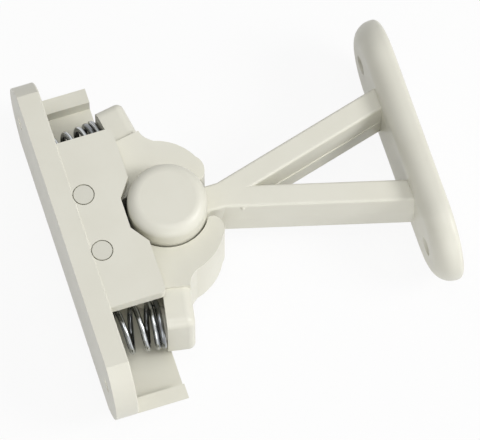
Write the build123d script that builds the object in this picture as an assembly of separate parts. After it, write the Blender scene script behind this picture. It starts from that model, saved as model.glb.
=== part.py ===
from build123d import *
import math
import os

# Spring door retainer: a catch with two sprung jaws, and a striker whose knob they hold.
# X runs out of the wall, Y along the catch plate, Z along the jaw pins. The origin is the
# centre of the catch's back face. Lengths are in millimetres.

# Catch base
plate_length = 112.6
plate_width = 36.0
plate_height = 7.2
plate_flat = 94.0
plate_edge = 0.5
floor_thickness = 3.0

# Catch cheeks
cheek_reach = 25.0
cheek_length = 57.0
cheek_inset = 0.3
cheek_corner = 1.6
lip_thickness = 6.6
lip_rise = 5.2
lip_reach = 23.8
notch_mouth = 22.2
notch_floor = 10.3
notch_depth = 4.2

# Jaws
jaw_width = 26.0
jaw_side_clearance = 0.5
hub_radius = 5.2
tail_back = 24.4
tail_thickness = 8.8
tail_reach = 39.5
tail_start = 27.0
tail_step = 1.2
tail_lean = 10.0
tail_corner = 2.2
nose_angle = 29.0
heel_angle = 143.0
nose_reach = 49.3
elbow_drop = 6.0
elbow_run = 5.0
shoulder_rise = 3.3
nose_depth = 7.6
nose_round = 1.6
nose_bulge = 4.2
back_bulge = (41.9, 20.2)
shoulder_out = 3.6
shoulder_in = 4.6
dish_depth = 1.7
tail_end_edge = 3.0

# Pins
pin_radius = 3.1
pin_x = 10.25
pin_y = 9.7
pin_seat_depth = 3.2
pin_running_clearance = 0.05
pin_press_clearance = 0.02
pin_ring = 0.35
pin_ring_depth = 1.2

# Springs
spring_y = 30.1
spring_mean_radius = 7.0
wire_radius = 0.9
open_turns = 3.0
seat_turns = 1.0
jaw_turns = 1.5
closed_gap = 0.06
spigot_clearance = 0.6
spigot_height = 3.0
seat_gap = 0.1

# Striker
knob_x = 34.2
knob_radius = 12.4
knob_length = 40.0
knob_edge = 3.6
socket_clearance = 0.6
apex_x = 49.2
arm_angle = 15.4
arm_thickness = 7.8
arm_width = 19.0
arm_edge = 0.9
arm_draft = 0.35
neck_height = 8.8
neck_length = 4.0
strike_plate_back = 116.9
strike_plate_thickness = 8.7
strike_plate_length = 89.4
strike_plate_width = plate_width
strike_plate_edge = 6.4
strike_back_edge = 1.8

# Screw holes
catch_hole_spacing = 92.0
strike_hole_spacing = 64.4
screw_radius = 2.25
countersink_radius = 3.2
countersink_depth = 1.3

# How far cutters run past a face, and how far joined bosses reach into it.
overshoot = 1.0
sink_in = 0.5

half_plate = plate_length / 2
half_width = plate_width / 2
channel_half = jaw_width / 2 + jaw_side_clearance
channel_length = plate_length - 2 * lip_thickness
lip_top = -channel_half + lip_rise
cheek_top = half_width - cheek_inset
tail_front = tail_back + tail_thickness
socket_radius = knob_radius + socket_clearance
jaw_half = jaw_width / 2
strike_plate_front = strike_plate_back - strike_plate_thickness
tail_half = jaw_half - tail_step
spigot_radius = spring_mean_radius - wire_radius - spigot_clearance

# The tail leans back towards the wall, and the spring leans half as far.
tail_turn = math.radians(tail_lean)
spring_turn = tail_turn / 2


def lean(x, y):
    dx, dy = x - tail_front, y - tail_start
    return (tail_front + dx * math.cos(tail_turn) - dy * math.sin(tail_turn),
            tail_start + dx * math.sin(tail_turn) + dy * math.cos(tail_turn))


# The spring's middle line runs from the floor to the back of the tail.
tail_root = lean(tail_back, tail_start)
root_gap = ((tail_root[0] - floor_thickness) * math.cos(tail_turn)
            + (tail_root[1] - spring_y) * math.sin(tail_turn))
spring_run = root_gap / math.cos(tail_turn - spring_turn)
spring_end = (floor_thickness + spring_run * math.cos(spring_turn),
              spring_y + spring_run * math.sin(spring_turn))
seat_along = ((spring_end[1] - tail_root[1]) * math.cos(tail_turn)
              - (spring_end[0] - tail_root[0]) * math.sin(tail_turn))
tail_flat_end = tail_start + seat_along - spring_mean_radius - wire_radius - spigot_clearance
seat_rise = seat_gap + wire_radius + spring_mean_radius * math.sin(spring_turn)
spring_lift = seat_rise / math.cos(spring_turn) - wire_radius
spring_length = spring_run - 2 * spring_lift

# Sketches drawn here lie in the YZ plane, so that they extrude along X.
wall_plane = Plane(origin=(0, 0, 0), x_dir=(0, 1, 0), z_dir=(1, 0, 0))


def block(x0, x1, y0, y1, z0, z1):
    size = (x1 - x0, y1 - y0, z1 - z0)
    middle = ((x0 + x1) / 2, (y0 + y1) / 2, (z0 + z1) / 2)
    return Pos(*middle) * Box(*size)


def rod(x, y, z0, z1, radius):
    return Pos(x, y, (z0 + z1) / 2) * Cylinder(radius, z1 - z0)


def bar_along_x(x0, x1, y, z, radius):
    return Pos((x0 + x1) / 2, y, z) * Rot(0, 90, 0) * Cylinder(radius, x1 - x0)


def plate_outline(thickness):
    # Straight long sides and arched ends, which meet at a corner.
    flat, end = plate_flat / 2, plate_length / 2
    rim = Line((-flat, half_width), (flat, half_width))
    rim += ThreePointArc((flat, half_width), (end, 0), (flat, -half_width))
    rim += Line((flat, -half_width), (-flat, -half_width))
    rim += ThreePointArc((-flat, -half_width), (-end, 0), (-flat, half_width))
    return extrude(wall_plane * make_face(rim), thickness)


def cheek_notch(z0, z1):
    mouth, floor = notch_mouth / 2, notch_floor / 2
    back = cheek_reach - notch_depth
    edge = cheek_reach + overshoot
    flare = mouth + overshoot * (mouth - floor) / notch_depth
    points = [(back, -floor), (edge, -flare), (edge, flare), (back, floor)]
    return Pos(0, 0, z0) * extrude(make_face(Polyline(*points, close=True)), z1 - z0)


def catch_housing():
    base = plate_outline(plate_height)
    base = fillet(base.faces().sort_by(Axis.X)[-1].edges(), plate_edge)
    pocket = block(floor_thickness, plate_height + overshoot, -channel_length / 2, channel_length / 2,
                   -channel_half, channel_half)
    base -= pocket
    # The lower wall follows the plate's outline for its whole length, with a lip at each end.
    wall = plate_outline(lip_reach)
    past = half_width + overshoot
    end = half_plate + overshoot
    front = lip_reach + overshoot
    wall -= block(-overshoot, front, -channel_length / 2, channel_length / 2, -channel_half, past)
    wall -= block(plate_height, front, -end, end, lip_top, past)
    wall -= block(-overshoot, plate_height, -end, end, -past, past)
    # The upper cheek is shorter, so that the springs can be dropped in beside it.
    cheek = block(floor_thickness, cheek_reach, -cheek_length / 2, cheek_length / 2, channel_half, cheek_top)
    cheek = fillet(cheek.edges().filter_by(Axis.Z).sort_by(Axis.X)[-2:], cheek_corner)
    housing = base + wall + cheek
    housing -= cheek_notch(-past, past)
    hole_radius = pin_radius + pin_press_clearance
    for side in (1, -1):
        housing -= rod(pin_x, side * pin_y, -channel_half - pin_seat_depth, past, hole_radius)
        # A narrow relief runs round each pin head.
        housing -= rod(pin_x, side * pin_y, cheek_top - pin_ring_depth, past, pin_radius + pin_ring)
        spigot = bar_along_x(floor_thickness - sink_in, floor_thickness + spigot_height, side * spring_y,
                             0, spigot_radius)
        housing += spigot
        hole_y = side * catch_hole_spacing / 2
        housing -= bar_along_x(-overshoot, plate_height + overshoot, hole_y, 0, screw_radius)
        sink = Pos(floor_thickness - countersink_depth / 2, hole_y, 0) * Rot(0, 90, 0)
        housing -= sink * Cone(screw_radius, countersink_radius, countersink_depth)
    return housing


def on_socket(angle):
    turn = math.radians(angle)
    return (knob_x + socket_radius * math.cos(turn), socket_radius * math.sin(turn))


def jaw_profile():
    tip = on_socket(nose_angle)
    crown = on_socket((nose_angle + heel_angle) / 2)
    heel = on_socket(heel_angle)
    hub_lean = hub_radius / 4
    hub_inner = (pin_x + hub_lean, pin_y - math.sqrt(hub_radius**2 - hub_lean**2))
    hub_outer = (pin_x + hub_lean, pin_y + math.sqrt(hub_radius**2 - hub_lean**2))
    shoulder = (tail_front + shoulder_out, tail_start - shoulder_in)
    nose_top = (nose_reach - nose_round, tip[1] + nose_depth)
    nose_end = (nose_reach, tip[1] + nose_bulge)
    nose_low = (tip[0] + nose_round, tip[1])
    elbow = (tail_back - elbow_drop, tail_flat_end - elbow_run)
    inside = Line(hub_inner, heel) + ThreePointArc(heel, crown, tip)
    nose = Line(tip, nose_low) + ThreePointArc(nose_low, nose_end, nose_top)
    back = ThreePointArc(nose_top, back_bulge, shoulder)
    tail_way = (-math.sin(tail_turn), math.cos(tail_turn))
    step = Spline(shoulder, (tail_front, tail_start), tangents=[(-shoulder_in, shoulder_rise), tail_way])
    flat_end = lean(tail_back, tail_flat_end)
    root = Polyline((tail_front, tail_start), tail_root, flat_end, elbow, hub_outer, hub_inner)
    return make_face(inside + nose + back + step + root)


def tail_pad():
    # The pad that the spring pushes on is a little narrower than the arm. It is drawn upright, then leans.
    pad = block(tail_back, tail_front, tail_start, tail_reach, -tail_half, tail_half)
    outer = pad.edges().filter_by(Axis.Z).group_by(Axis.Y)[-1].sort_by(Axis.X)[-1]
    pad = fillet(outer, tail_corner)
    rim = pad.faces().sort_by(Axis.Y)[-1].edges().filter_by(Axis.X)
    pad = fillet(rim, tail_end_edge)
    return Pos(tail_front, tail_start, 0) * Rot(0, 0, tail_lean) * Pos(-tail_front, -tail_start, 0) * pad


def upper_jaw():
    arm = Pos(0, 0, -jaw_half) * extrude(jaw_profile(), jaw_width)
    hub = rod(pin_x, pin_y, -jaw_half, jaw_half, hub_radius)
    past = jaw_half + overshoot
    # Both sides of the arm are dished: they fall from the tail to the socket.
    fall = dish_depth / (tail_start - socket_radius)
    low_z = jaw_half - fall * (tail_start + overshoot)
    dish = [(tail_start, jaw_half), (tail_start, past), (-overshoot, past), (-overshoot, low_z)]
    cut = extrude(wall_plane * make_face(Polyline(*dish, close=True)), nose_reach + overshoot)
    arm -= cut
    arm -= mirror(cut, about=Plane.XY)
    jaw = arm + hub + tail_pad()
    spigot = bar_along_x(-spigot_height, sink_in, 0, 0, spigot_radius)
    jaw += Pos(spring_end[0], spring_end[1], 0) * Rot(0, 0, tail_lean) * spigot
    jaw -= rod(pin_x, pin_y, -past, past, pin_radius + pin_running_clearance)
    return jaw


def pin(side):
    return rod(pin_x, side * pin_y, -channel_half - pin_seat_depth, cheek_top, pin_radius)


def spring(side):
    # Coil pitches follow one another: a closed end, the open turns, then the closed end at the jaw.
    closed_pitch = 2 * wire_radius + closed_gap
    seat_height = closed_pitch * seat_turns
    jaw_height = closed_pitch * jaw_turns
    open_height = spring_length - seat_height - jaw_height - 2 * wire_radius
    open_pitch = open_height / open_turns
    heights = ((closed_pitch, seat_height), (open_pitch, open_height), (closed_pitch, jaw_height))
    coil = None
    z = wire_radius
    angle = 0.0
    for pitch, height in heights:
        path = Pos(0, 0, z) * Rot(0, 0, angle) * Helix(pitch, height, spring_mean_radius)
        section = Plane(origin=path @ 0, z_dir=path % 0) * Circle(wire_radius)
        piece = sweep(section, path, is_frenet=True)
        coil = piece if coil is None else coil + piece
        z += height
        angle += 360.0 * height / pitch
    stand = Pos(floor_thickness, side * spring_y, 0) * Rot(0, 0, side * math.degrees(spring_turn))
    return stand * Pos(spring_lift, 0, 0) * Rot(0, 90, 0) * coil


def striker():
    knob = rod(knob_x, 0, -knob_length / 2, knob_length / 2, knob_radius)
    knob = fillet(knob.edges().filter_by(GeomType.CIRCLE), knob_edge)
    ends = wall_plane * SlotOverall(strike_plate_length, strike_plate_width)
    plate = Pos(strike_plate_front, 0, 0) * extrude(ends, strike_plate_thickness)
    plate = fillet(plate.faces().sort_by(Axis.X)[0].edges(), strike_plate_edge)
    plate = fillet(plate.faces().sort_by(Axis.X)[-1].edges(), strike_back_edge)
    neck = block(knob_x, apex_x + neck_length, -neck_height / 2, neck_height / 2,
                 -arm_width / 2, arm_width / 2)
    neck = fillet(neck.edges().filter_by(Axis.X), arm_edge)
    body = knob + neck + plate
    reach = strike_plate_front + strike_plate_thickness / 2 - apex_x
    length = reach / math.cos(math.radians(arm_angle)) + knob_radius / 2
    arm_half = arm_width / 2
    mid = arm_thickness / 2
    rim = mid - arm_draft
    section = [(-rim, -arm_half), (rim, -arm_half), (mid, 0), (rim, arm_half), (-rim, arm_half), (-mid, 0)]
    for side in (1, -1):
        # The arm is thickest on its middle plane, where the two halves of its mould part.
        arm = extrude(wall_plane * make_face(Polyline(*section, close=True)), length)
        corners = [edge for edge in arm.edges().filter_by(Axis.X) if abs(edge.center().Z) > arm_half / 2]
        arm = fillet(corners, arm_edge)
        place = Pos(apex_x, 0, 0) * Rot(0, 0, side * arm_angle)
        body += place * Pos(-knob_radius / 2, 0, 0) * arm
    for side in (1, -1):
        hole_y = side * strike_hole_spacing / 2
        body -= bar_along_x(strike_plate_front - overshoot, strike_plate_back + overshoot, hole_y, 0,
                            screw_radius)
        sink = Pos(strike_plate_front + countersink_depth / 2, hole_y, 0) * Rot(0, 90, 0)
        body -= sink * Cone(countersink_radius, screw_radius, countersink_depth)
    return body


def main():
    jaw = upper_jaw()
    pieces = {
        "catch_housing": catch_housing(),
        "upper_jaw": jaw,
        "lower_jaw": mirror(jaw, about=Plane.XZ),
        "upper_pin": pin(1),
        "lower_pin": pin(-1),
        "upper_spring": spring(1),
        "lower_spring": spring(-1),
        "striker": striker(),
    }
    os.makedirs("parts", exist_ok=True)
    for name, solid in pieces.items():
        export_step(solid, os.path.join("parts", name + ".step"))
        print(name, round(solid.volume, 1))


main()
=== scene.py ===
# Spring door retainer in moulded ivory plastic, with two plated coil springs.
import math

import bpy
import numpy as np
from mathutils import Matrix, Vector


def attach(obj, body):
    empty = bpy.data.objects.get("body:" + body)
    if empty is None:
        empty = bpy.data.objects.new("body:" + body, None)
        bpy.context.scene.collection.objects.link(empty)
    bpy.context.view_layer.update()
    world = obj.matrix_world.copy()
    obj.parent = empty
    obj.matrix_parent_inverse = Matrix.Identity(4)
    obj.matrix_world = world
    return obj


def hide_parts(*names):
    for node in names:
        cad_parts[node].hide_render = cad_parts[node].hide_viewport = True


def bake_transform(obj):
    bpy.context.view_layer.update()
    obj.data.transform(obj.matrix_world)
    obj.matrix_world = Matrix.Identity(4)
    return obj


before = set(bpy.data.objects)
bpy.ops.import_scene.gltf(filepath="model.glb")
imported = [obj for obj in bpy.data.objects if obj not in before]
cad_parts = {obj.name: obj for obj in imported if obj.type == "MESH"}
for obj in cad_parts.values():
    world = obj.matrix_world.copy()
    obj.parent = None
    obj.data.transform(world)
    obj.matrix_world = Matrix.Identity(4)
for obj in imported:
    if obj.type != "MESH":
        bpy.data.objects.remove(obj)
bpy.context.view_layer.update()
scene = bpy.context.scene
scene.view_settings.view_transform = "Standard"
print("frame loaded:", ", ".join(sorted(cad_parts)))

# Camera
cameraView = {
    "target": (0.058, 0.0, 0.0),  # middle of the object, metres
    "distance": 1.5,
    "azimuth": -18.341,  # degrees round Z from the -Y side
    "elevation": 67.985,
    "roll": 0.561,
    "pixelsPerMetre": 3205.7,  # at the target
    "targetPixel": (240.498, 200.378),
    "picture": (480, 440),
    "sensorWidth": 36.0,  # millimetres
    "clipEnd": 20.0,
}


def placeCamera(view):
    # back = (sin a cos e, -cos a cos e, sin e), right = (cos a, sin a, 0), up = back x right,
    # then right and up turn by the roll. The camera slides in its own plane until the target
    # falls on its pixel, so the lens needs no shift.
    a, e, r = (math.radians(view[key]) for key in ("azimuth", "elevation", "roll"))
    back = Vector((math.sin(a) * math.cos(e), -math.cos(a) * math.cos(e), math.sin(e)))
    right = Vector((math.cos(a), math.sin(a), 0.0))
    up = back.cross(right)
    rightTurned = math.cos(r) * right + math.sin(r) * up
    upTurned = math.cos(r) * up - math.sin(r) * right
    wide, tall = view["picture"]
    u, v = view["targetPixel"]
    scale = view["pixelsPerMetre"]
    place = Vector(view["target"]) + back * view["distance"]
    place += rightTurned * (wide / 2 - u) / scale + upTurned * (v - tall / 2) / scale
    data = bpy.data.cameras.new("photoCamera")
    data.sensor_fit = "HORIZONTAL"
    data.sensor_width = view["sensorWidth"]
    data.lens = scale * view["distance"] * data.sensor_width / wide
    data.clip_end = view["clipEnd"]
    camera = bpy.data.objects.new("photoCamera", data)
    turn = Matrix((rightTurned, upTurned, back)).transposed()
    camera.matrix_world = Matrix.Translation(place) @ turn.to_4x4()
    scene.collection.objects.link(camera)
    scene.camera = camera


placeCamera(cameraView)
print("camera placed")


# Node helpers
def newMaterial(name):
    # an empty node material and its tree
    material = bpy.data.materials.new(name)
    material.use_nodes = True
    material.node_tree.nodes.clear()
    return material, material.node_tree


def node(tree, kind, **values):
    # one node with its settings
    made = tree.nodes.new(kind)
    for key, value in values.items():
        setattr(made, key, value)
    return made


def setInputs(made, **values):
    # constants on a node's sockets, by socket name
    for key, value in values.items():
        made.inputs[key].default_value = value


def span(low, high):
    # the Map Range values that give 0 at low and 1 at high, straight between
    return {"From Min": low, "From Max": high, "To Min": 0.0, "To Max": 1.0}


# Moulded skin: two drifting tones, a changing gloss and a fine grain, all on Object coordinates
skinNoise = {  # scale, detail and roughness of each noise
    "slow": (70.0, 3.0, 0.5),
    "middle": (420.0, 4.0, 0.6),
    "fine": (2600.0, 2.0, 0.5),
    "driftSpan": (0.35, 0.68),  # of the slow noise, from tone to shade
    "fineShare": 0.35,  # of the fine noise in the height
}


def skinNoiseNode(group, coords, name):
    # one of the three noises, on Object coordinates
    scale, detail, roughness = skinNoise[name]
    noise = node(group, "ShaderNodeTexNoise")
    setInputs(noise, Scale=scale, Detail=detail, Roughness=roughness)
    group.links.new(coords.outputs["Object"], noise.inputs["Vector"])
    return noise


def mouldedSkinGroup():
    # colour = tone blended to shade by the slow noise; roughness = gloss plus a share of the middle
    # noise less a half; height = the middle noise plus a share of the fine one
    group = bpy.data.node_groups.new("mouldedSkin", "ShaderNodeTree")
    face = group.interface
    for way, names in (("INPUT", ("Tone", "Shade", "Drift", "Gloss", "Gloss Change")),
                       ("OUTPUT", ("Color", "Roughness", "Height"))):
        for name in names:
            kind = "NodeSocketColor" if name in ("Tone", "Shade", "Color") else "NodeSocketFloat"
            face.new_socket(name, in_out=way, socket_type=kind)
    start = node(group, "NodeGroupInput")
    end = node(group, "NodeGroupOutput")
    coords = node(group, "ShaderNodeTexCoord")
    slow, middle, fine = (skinNoiseNode(group, coords, name) for name in ("slow", "middle", "fine"))
    share = node(group, "ShaderNodeMapRange")
    setInputs(share, **span(*skinNoise["driftSpan"]))
    group.links.new(slow.outputs["Fac"], share.inputs["Value"])
    drift = node(group, "ShaderNodeMath", operation="MULTIPLY")
    group.links.new(share.outputs["Result"], drift.inputs[0])
    group.links.new(start.outputs["Drift"], drift.inputs[1])
    mix = node(group, "ShaderNodeMix", data_type="RGBA")
    group.links.new(drift.outputs["Value"], mix.inputs["Factor"])
    group.links.new(start.outputs["Tone"], mix.inputs[6])
    group.links.new(start.outputs["Shade"], mix.inputs[7])
    group.links.new(mix.outputs[2], end.inputs["Color"])
    centred = node(group, "ShaderNodeMath", operation="SUBTRACT")
    centred.inputs[1].default_value = 0.5
    group.links.new(middle.outputs["Fac"], centred.inputs[0])
    rough = node(group, "ShaderNodeMath", operation="MULTIPLY_ADD")
    group.links.new(centred.outputs["Value"], rough.inputs[0])
    group.links.new(start.outputs["Gloss Change"], rough.inputs[1])
    group.links.new(start.outputs["Gloss"], rough.inputs[2])
    group.links.new(rough.outputs["Value"], end.inputs["Roughness"])
    height = node(group, "ShaderNodeMath", operation="MULTIPLY_ADD")
    height.inputs[1].default_value = skinNoise["fineShare"]
    group.links.new(fine.outputs["Fac"], height.inputs[0])
    group.links.new(middle.outputs["Fac"], height.inputs[2])
    group.links.new(height.outputs["Value"], end.inputs["Height"])
    return group


skinGroup = mouldedSkinGroup()

plastic = {
    "tone": (0.735, 0.722, 0.634, 1.0),
    "shade": (0.692, 0.676, 0.584, 1.0),
    "drift": 0.55,
    "gloss": 0.40,
    "glossChange": 0.16,
    "grain": 0.06,
    "grainDepth": 0.0002,
    "ior": 1.49,
}
pinPlastic = dict(plastic, tone=(0.670, 0.660, 0.580, 1.0), shade=(0.630, 0.618, 0.540, 1.0), gloss=0.34)


def skinMaterial(name, finish):
    # the moulded skin with one finish's values; its height is a slight bump
    material, tree = newMaterial(name)
    out = node(tree, "ShaderNodeOutputMaterial")
    shader = node(tree, "ShaderNodeBsdfPrincipled")
    skin = node(tree, "ShaderNodeGroup", node_tree=skinGroup)
    setInputs(skin, Tone=finish["tone"], Shade=finish["shade"], Drift=finish["drift"], Gloss=finish["gloss"])
    skin.inputs["Gloss Change"].default_value = finish["glossChange"]
    bump = node(tree, "ShaderNodeBump")
    setInputs(bump, Strength=finish["grain"], Distance=finish["grainDepth"])
    tree.links.new(skin.outputs["Color"], shader.inputs["Base Color"])
    tree.links.new(skin.outputs["Roughness"], shader.inputs["Roughness"])
    tree.links.new(skin.outputs["Height"], bump.inputs["Height"])
    tree.links.new(bump.outputs["Normal"], shader.inputs["Normal"])
    setInputs(shader, IOR=finish["ior"])
    tree.links.new(shader.outputs["BSDF"], out.inputs["Surface"])
    return material


ivoryMaterial = skinMaterial("mouldedIvory", plastic)
pinMaterial = skinMaterial("pinIvory", pinPlastic)

wire = {
    # painted highlight: the lightest streaks on the wire's outer side
    "paintedHighlight": (0.60, 0.62, 0.63, 1.0),
    "dull": (0.20, 0.21, 0.22, 1.0),
    "flankShade": (0.165, 0.172, 0.178, 1.0),  # painted shade on the wire's flanks and inner side, where turns face each other
    "gloss": 0.13,
    "drawn": 0.10,
    "lineRate": 0.35,  # how fast the painted highlight streaks change along a turn
    "lineScale": 1.9,
    "lineSpan": (0.40, 0.60),  # of the noise, from dull to the painted highlight
    "paintedLitSpan": (0.15, 0.85),  # of the cosine, from the painted flank shade to the painted lit side
}


def wireMaterial(name, finish):
    # colour = painted flank shade, blended to the painted lit side as cos(2 pi u) rises towards the side
    # that faces out of the coil. The lit side goes from dull to painted highlight in streaks along the wire,
    # by a noise at (cos 2 pi u, sin 2 pi u, slow v). roughness = gloss plus a share of the same noise.
    material, tree = newMaterial(name)
    out = node(tree, "ShaderNodeOutputMaterial")
    shader = node(tree, "ShaderNodeBsdfPrincipled")
    setInputs(shader, Metallic=1.0)
    coords = node(tree, "ShaderNodeTexCoord")
    split = node(tree, "ShaderNodeSeparateXYZ")
    tree.links.new(coords.outputs["UV"], split.inputs["Vector"])
    turn = node(tree, "ShaderNodeMath", operation="MULTIPLY")
    turn.inputs[1].default_value = 2 * math.pi
    tree.links.new(split.outputs["X"], turn.inputs[0])
    facing = node(tree, "ShaderNodeMath", operation="COSINE")
    tree.links.new(turn.outputs["Value"], facing.inputs[0])
    beside = node(tree, "ShaderNodeMath", operation="SINE")
    tree.links.new(turn.outputs["Value"], beside.inputs[0])
    slow = node(tree, "ShaderNodeMath", operation="MULTIPLY")
    slow.inputs[1].default_value = finish["lineRate"]
    tree.links.new(split.outputs["Y"], slow.inputs[0])
    place = node(tree, "ShaderNodeCombineXYZ")
    tree.links.new(facing.outputs["Value"], place.inputs["X"])
    tree.links.new(beside.outputs["Value"], place.inputs["Y"])
    tree.links.new(slow.outputs["Value"], place.inputs["Z"])
    streak = node(tree, "ShaderNodeTexNoise")
    setInputs(streak, Scale=finish["lineScale"], Detail=2.0, Roughness=0.5)
    tree.links.new(place.outputs["Vector"], streak.inputs["Vector"])
    line = node(tree, "ShaderNodeMapRange")
    setInputs(line, **span(*finish["lineSpan"]))
    tree.links.new(streak.outputs["Fac"], line.inputs["Value"])
    # painted highlight: the outer side goes from dull to lighter in streaks along the wire
    paintedLitSide = node(tree, "ShaderNodeMix", data_type="RGBA")
    paintedLitSide.inputs[6].default_value = finish["dull"]
    paintedLitSide.inputs[7].default_value = finish["paintedHighlight"]
    tree.links.new(line.outputs["Result"], paintedLitSide.inputs["Factor"])
    share = node(tree, "ShaderNodeMapRange", interpolation_type="SMOOTHSTEP")
    setInputs(share, **span(*finish["paintedLitSpan"]))
    tree.links.new(facing.outputs["Value"], share.inputs["Value"])
    # painted shade: the flanks and inner side of the wire are darkened, blended to the painted lit side
    shaded = node(tree, "ShaderNodeMix", data_type="RGBA")
    shaded.inputs[6].default_value = finish["flankShade"]
    tree.links.new(share.outputs["Result"], shaded.inputs["Factor"])
    tree.links.new(paintedLitSide.outputs[2], shaded.inputs[7])
    tree.links.new(shaded.outputs[2], shader.inputs["Base Color"])
    rough = node(tree, "ShaderNodeMath", operation="MULTIPLY_ADD")
    rough.inputs[1].default_value = finish["drawn"]
    rough.inputs[2].default_value = finish["gloss"]
    tree.links.new(streak.outputs["Fac"], rough.inputs[0])
    tree.links.new(rough.outputs["Value"], shader.inputs["Roughness"])
    tree.links.new(shader.outputs["BSDF"], out.inputs["Surface"])
    return material


platedMaterial = wireMaterial("platedWire", wire)
print("materials made")

upwards = np.array((0.0, 0.0, 1.0))

# Coil springs
coil = {
    "floor": 0.003,  # the catch floor that the springs stand on
    "offset": 0.0301,  # from the middle of the catch, along Y
    "chord": 0.02048,  # straight from the floor to the back of the jaw's tail
    "lean": 10.0,  # degrees that the tail leans, so that the coil bows this far
    "seatGap": 0.0001,
    "radius": 0.0070,
    "wire": 0.0009,
    # turns closed at the floor, open and closed at the jaw, and the turn that the wire starts at
    "upperTurns": (1.0, 2.8, 1.9, 0.37),
    "lowerTurns": (0.8, 2.8, 1.6, 0.0),
    "closedPitch": 0.0020,
    "swell": 0.6,  # share by which the middle turns are wider than the outer open ones
    "pitchBlend": 0.25,  # turns over which the pitch changes
    "perTurn": 64,
    "round": 16,
    "still": 0.0015,  # length at the floor that stays as the jaw turns
    "carried": 0.0020,  # length at the tail that goes with it
}


def coilSpring(name, side, joint, wound):
    # The coil's axis is an arc that leaves the floor square and meets the leaning tail square. Along
    # it the wire is a helix: its advance per turn is the closed pitch at both ends and rises to the
    # open pitch between them, which is widest in the middle by one arch of a sine. It is summed along
    # the wire and scaled to the free length. A circle of the wire's radius is carried along that line.
    seatTurns, openTurns, jawTurns, phase = wound
    turns = seatTurns + openTurns + jawTurns
    count = int(turns * coil["perTurn"]) + 1
    turn = np.linspace(0.0, turns, count)
    rise = np.clip((turn - seatTurns) / coil["pitchBlend"] + 0.5, 0, 1)
    fall = np.clip((turns - jawTurns - turn) / coil["pitchBlend"] + 0.5, 0, 1)
    openShare = (rise * rise * (3 - 2 * rise)) * (fall * fall * (3 - 2 * fall))
    share = np.clip((turn - seatTurns) / openTurns, 0, 1)
    openShare = openShare * (1 + coil["swell"] * np.sin(math.pi * share))
    lean = math.radians(coil["lean"])
    bow = coil["chord"] / (2 * math.sin(lean / 2))  # radius of the arc
    ends = coil["seatGap"] + coil["wire"]
    height = bow * lean - 2 * ends
    step = turns / (count - 1)
    spare = height - coil["closedPitch"] * turns
    advance = coil["closedPitch"] + openShare * spare / (openShare.sum() * step)
    along = np.concatenate(([0.0], np.cumsum((advance[1:] + advance[:-1]) / 2 * step)))
    along = ends + along * height / along[-1]
    heading = along / bow
    zero = np.zeros(count)
    axis = np.stack((coil["floor"] + bow * np.sin(heading),
                     side * (coil["offset"] + bow * (1 - np.cos(heading))), zero), axis=1)
    sideways = np.stack((-side * np.sin(heading), np.cos(heading), zero), axis=1)
    angle = 2 * math.pi * (turn - phase)
    out = side * (np.cos(angle)[:, None] * sideways + np.sin(angle)[:, None] * upwards)
    middle = axis + coil["radius"] * out
    ahead = np.gradient(middle, axis=0)
    ahead /= np.linalg.norm(ahead, axis=1, keepdims=True)
    across = np.cross(ahead, out)
    around = coil["round"]
    phi = np.linspace(0.0, 2 * math.pi, around, endpoint=False)
    ring = np.cos(phi)[None, :, None] * out[:, None, :] + np.sin(phi)[None, :, None] * across[:, None, :]
    points = middle[:, None, :] + coil["wire"] * ring
    # Both ends are cut square and closed on their centre point.
    allPoints = np.concatenate((points.reshape(-1, 3), middle[:1], middle[-1:]))
    row, col = np.meshgrid(np.arange(count - 1), np.arange(around), indexing="ij")
    nextCol = (col + 1) % around
    quads = np.stack((row * around + col, row * around + nextCol,
                      (row + 1) * around + nextCol, (row + 1) * around + col), axis=2).reshape(-1, 4)
    first = count * around
    last = (count - 1) * around
    here = np.arange(around)
    beside = (here + 1) % around
    headFan = np.stack((np.full(around, first), beside, here), axis=1)
    tailFan = np.stack((np.full(around, first + 1), last + here, last + beside), axis=1)
    faces = quads.tolist() + headFan.tolist() + tailFan.tolist()
    mesh = bpy.data.meshes.new(name)
    mesh.from_pydata(allPoints.tolist(), [], faces)
    mesh.update()
    # UV: u round the wire from its outer side, v along it in turns
    u = np.stack((col, col + 1, col + 1, col), axis=2) / around
    v = np.stack((row, row, row + 1, row + 1), axis=2) / coil["perTurn"]
    capUv = np.full((2 * around * 3, 2), 0.5)
    allUv = np.concatenate((np.stack((u, v), axis=3).reshape(-1, 2), capUv))
    layer = mesh.uv_layers.new(name="wireLength")
    layer.data.foreach_set("uv", allUv.ravel())
    mesh.polygons.foreach_set("use_smooth", np.ones(len(mesh.polygons), dtype=bool))
    mesh.materials.append(platedMaterial)
    made = bpy.data.objects.new(name, mesh)
    scene.collection.objects.link(made)
    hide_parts(joint.replace("_jaw_pivot", "_spring"))
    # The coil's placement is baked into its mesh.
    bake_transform(made)


coilSpring("upperCoil", 1, "upper_jaw_pivot", coil["upperTurns"])
coilSpring("lowerCoil", -1, "lower_jaw_pivot", coil["lowerTurns"])
print("coil springs made")

# Mould marks on the striker: a fine bead where the mould halves met, and the nub of the gate
mouldMarks = {
    "apex": 0.0492,  # where the arms' middle lines meet, along X
    "armAngle": 15.4,  # degrees from X
    "armHalf": 0.0039,  # half the arm's thickness on its middle plane
    "beadStart": 0.0145,  # along the arm from the apex
    "beadEnd": 0.0606,
    "beadRadius": 0.00036,
    "beadSteps": 48,
    "beadRound": 10,
    "beadTaper": 0.04,  # share of the length over which each end swells
    "beadTip": 0.15,  # share of the radius at the very end
    "gatePlace": (0.0090, 0.0080),  # along the arm from the apex, and height
    "gateRadius": 0.0008,
    "gateHeight": 0.0006,
    "gateSunk": 0.00032,  # the dome's foot lies this far in from the crest, as the side slopes back
    "gateSteps": 8,
    "gateRound": 20,
    "gateFlat": 0.02,  # share of the area that the top ring leaves
}


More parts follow.
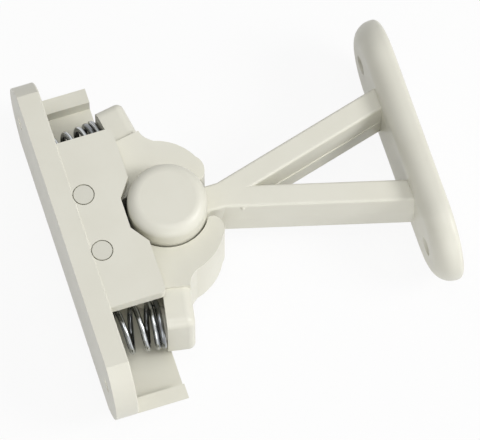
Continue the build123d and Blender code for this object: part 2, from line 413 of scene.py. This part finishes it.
def strikerMark(name, points, faces):
    # a smooth ivory piece that moves with the striker
    mesh = bpy.data.meshes.new(name)
    mesh.from_pydata(points.tolist(), [], faces)
    mesh.update()
    mesh.polygons.foreach_set("use_smooth", np.ones(len(mesh.polygons), dtype=bool))
    mesh.materials.append(ivoryMaterial)
    made = bpy.data.objects.new(name, mesh)
    scene.collection.objects.link(made)
    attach(made, "striker")


def armFrame(side):
    # ahead runs along the arm, outwards is square to it in the XY plane, away from the other arm
    turn = math.radians(mouldMarks["armAngle"])
    ahead = np.array((math.cos(turn), side * math.sin(turn), 0.0))
    outwards = np.array((-math.sin(turn), side * math.cos(turn), 0.0))
    return np.array((mouldMarks["apex"], 0.0, 0.0)), ahead, outwards


def gridFaces(rows, cols, start):
    # quads of a grid whose columns close on themselves, and a flat cap on its first and last row
    row, col = np.meshgrid(np.arange(rows - 1), np.arange(cols), indexing="ij")
    nextCol = (col + 1) % cols
    quads = np.stack((row * cols + col, row * cols + nextCol,
                      (row + 1) * cols + nextCol, (row + 1) * cols + col), axis=2).reshape(-1, 4) + start
    ring = np.arange(cols) + start
    return quads.tolist() + [ring[::-1].tolist(), (ring + (rows - 1) * cols).tolist()]


def partingBead(name):
    # Where the arms face each other, a thin round rod lies half sunk in the crest of the drafted side:
    # a circle carried along the arm, whose radius rises evenly from the tip's over both end tapers.
    points, faces = [], []
    rows, cols = mouldMarks["beadSteps"], mouldMarks["beadRound"]
    share = np.linspace(0.0, 1.0, rows)
    along = mouldMarks["beadStart"] + share * (mouldMarks["beadEnd"] - mouldMarks["beadStart"])
    swell = np.clip(np.minimum(share, 1 - share) / mouldMarks["beadTaper"], mouldMarks["beadTip"], 1.0)
    phi = np.linspace(0.0, 2 * math.pi, cols, endpoint=False)
    for side in (1, -1):
        apex, ahead, outwards = armFrame(side)
        middle = apex + along[:, None] * ahead - mouldMarks["armHalf"] * outwards
        # The mirrored arm's ring runs the other way round, which keeps its faces outwards.
        ring = -np.cos(phi)[:, None] * outwards - side * np.sin(phi)[:, None] * upwards
        body = middle[:, None, :] + mouldMarks["beadRadius"] * swell[:, None, None] * ring[None, :, :]
        faces += gridFaces(rows, cols, sum(len(part) for part in points))
        points.append(body.reshape(-1, 3))
    strikerMark(name, np.concatenate(points), faces)


def gateNub(name):
    # A low dome on the outer side of the lower arm: height falls with the square of the radius.
    rows, cols = mouldMarks["gateSteps"], mouldMarks["gateRound"]
    apex, ahead, outwards = armFrame(-1)
    along, height = mouldMarks["gatePlace"]
    reach = mouldMarks["armHalf"] - mouldMarks["gateSunk"]
    centre = apex + along * ahead + reach * outwards + height * upwards
    radius = mouldMarks["gateRadius"] * np.sqrt(np.linspace(1.0, mouldMarks["gateFlat"], rows))
    lift = mouldMarks["gateHeight"] * (1 - (radius / mouldMarks["gateRadius"]) ** 2)
    phi = np.linspace(0.0, 2 * math.pi, cols, endpoint=False)
    flat = np.cos(phi)[:, None] * ahead + np.sin(phi)[:, None] * upwards
    dome = centre + radius[:, None, None] * flat[None, :, :] + lift[:, None, None] * outwards
    strikerMark(name, dome.reshape(-1, 3), gridFaces(rows, cols, 0))


partingBead("armPartingBead")
gateNub("armGateNub")
print("mould marks made")

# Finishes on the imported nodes
finishes = {
    "catch_housing": ivoryMaterial,
    "upper_jaw": ivoryMaterial,
    "lower_jaw": ivoryMaterial,
    "striker": ivoryMaterial,
    "upper_pin": pinMaterial,
    "lower_pin": pinMaterial,
}


def dressNodes(table):
    # one material on the whole of each node
    for name, material in table.items():
        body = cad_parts[name]
        body.data.materials.clear()
        body.data.materials.append(material)


dressNodes(finishes)
print("finishes set")

# Floor, world and lamps
studio = {
    "floorLevel": -0.02005,  # a hair under the knob's lower end
    "floorSize": 6.0,
    "floorTone": (0.80, 0.80, 0.80, 1.0),
    "white": (1.0, 1.0, 1.0, 1.0),
    "glow": 0.91,  # share of white that the floor shows
    "worldFill": 0.37,
    "lamps": {  # place in metres, disc size, power in watts
        "keyLamp": ((1.00, -0.50, 0.93), 0.6, 11.0),
        "frontLamp": ((-0.20, -1.28, 0.34), 1.0, 4.0),
        "topLamp": ((0.12, -0.15, 1.35), 0.8, 3.8),
    },
}


def backdropRays(tree):
    # 1 for rays that see the background: straight from the camera, or by way of a mirror or glass
    path = node(tree, "ShaderNodeLightPath")
    either = node(tree, "ShaderNodeMath", operation="MAXIMUM")
    tree.links.new(path.outputs["Is Camera Ray"], either.inputs[0])
    tree.links.new(path.outputs["Is Glossy Ray"], either.inputs[1])
    seen = node(tree, "ShaderNodeMath", operation="MAXIMUM")
    tree.links.new(either.outputs["Value"], seen.inputs[0])
    tree.links.new(path.outputs["Is Transmission Ray"], seen.inputs[1])
    return seen.outputs["Value"]


def studioFloor():
    # a square of pale paper just under the knob, which glows white by a share for the rays that see it
    half = studio["floorSize"] / 2
    z = studio["floorLevel"]
    corners = [(-half, -half, z), (half, -half, z), (half, half, z), (-half, half, z)]
    mesh = bpy.data.meshes.new("studioFloor")
    mesh.from_pydata(corners, [], [(0, 1, 2, 3)])
    material, tree = newMaterial("paperFloor")
    out = node(tree, "ShaderNodeOutputMaterial")
    paper = node(tree, "ShaderNodeBsdfDiffuse")
    setInputs(paper, Color=studio["floorTone"])
    glow = node(tree, "ShaderNodeEmission")
    setInputs(glow, Color=studio["white"], Strength=1.0)
    seen = backdropRays(tree)
    share = node(tree, "ShaderNodeMath", operation="MULTIPLY")
    share.inputs[1].default_value = studio["glow"]
    tree.links.new(seen, share.inputs[0])
    mix = node(tree, "ShaderNodeMixShader")
    tree.links.new(share.outputs["Value"], mix.inputs["Fac"])
    tree.links.new(paper.outputs["BSDF"], mix.inputs[1])
    tree.links.new(glow.outputs["Emission"], mix.inputs[2])
    tree.links.new(mix.outputs["Shader"], out.inputs["Surface"])
    mesh.materials.append(material)
    floor = bpy.data.objects.new("studioFloor", mesh)
    scene.collection.objects.link(floor)


def studioWorld():
    # white for the rays that see it, and an even fill for the rest
    world = bpy.data.worlds.new("studioWorld")
    world.use_nodes = True
    tree = world.node_tree
    tree.nodes.clear()
    out = node(tree, "ShaderNodeOutputWorld")
    fill = node(tree, "ShaderNodeBackground")
    setInputs(fill, Color=studio["white"], Strength=studio["worldFill"])
    white = node(tree, "ShaderNodeBackground")
    setInputs(white, Color=studio["white"], Strength=1.0)
    seen = backdropRays(tree)
    mix = node(tree, "ShaderNodeMixShader")
    tree.links.new(seen, mix.inputs["Fac"])
    tree.links.new(fill.outputs["Background"], mix.inputs[1])
    tree.links.new(white.outputs["Background"], mix.inputs[2])
    tree.links.new(mix.outputs["Shader"], out.inputs["Surface"])
    scene.world = world


def softLamp(name, place, size, power):
    # a round lamp turned to the middle of the object
    data = bpy.data.lights.new(name, "AREA")
    data.shape = "DISK"
    data.size = size
    data.energy = power
    lamp = bpy.data.objects.new(name, data)
    aim = Vector(cameraView["target"]) - Vector(place)
    lamp.location = place
    lamp.rotation_euler = aim.to_track_quat("-Z", "Y").to_euler()
    scene.collection.objects.link(lamp)


studioFloor()
studioWorld()
for lampName, (place, size, power) in studio["lamps"].items():
    softLamp(lampName, place, size, power)
print("studio lit")
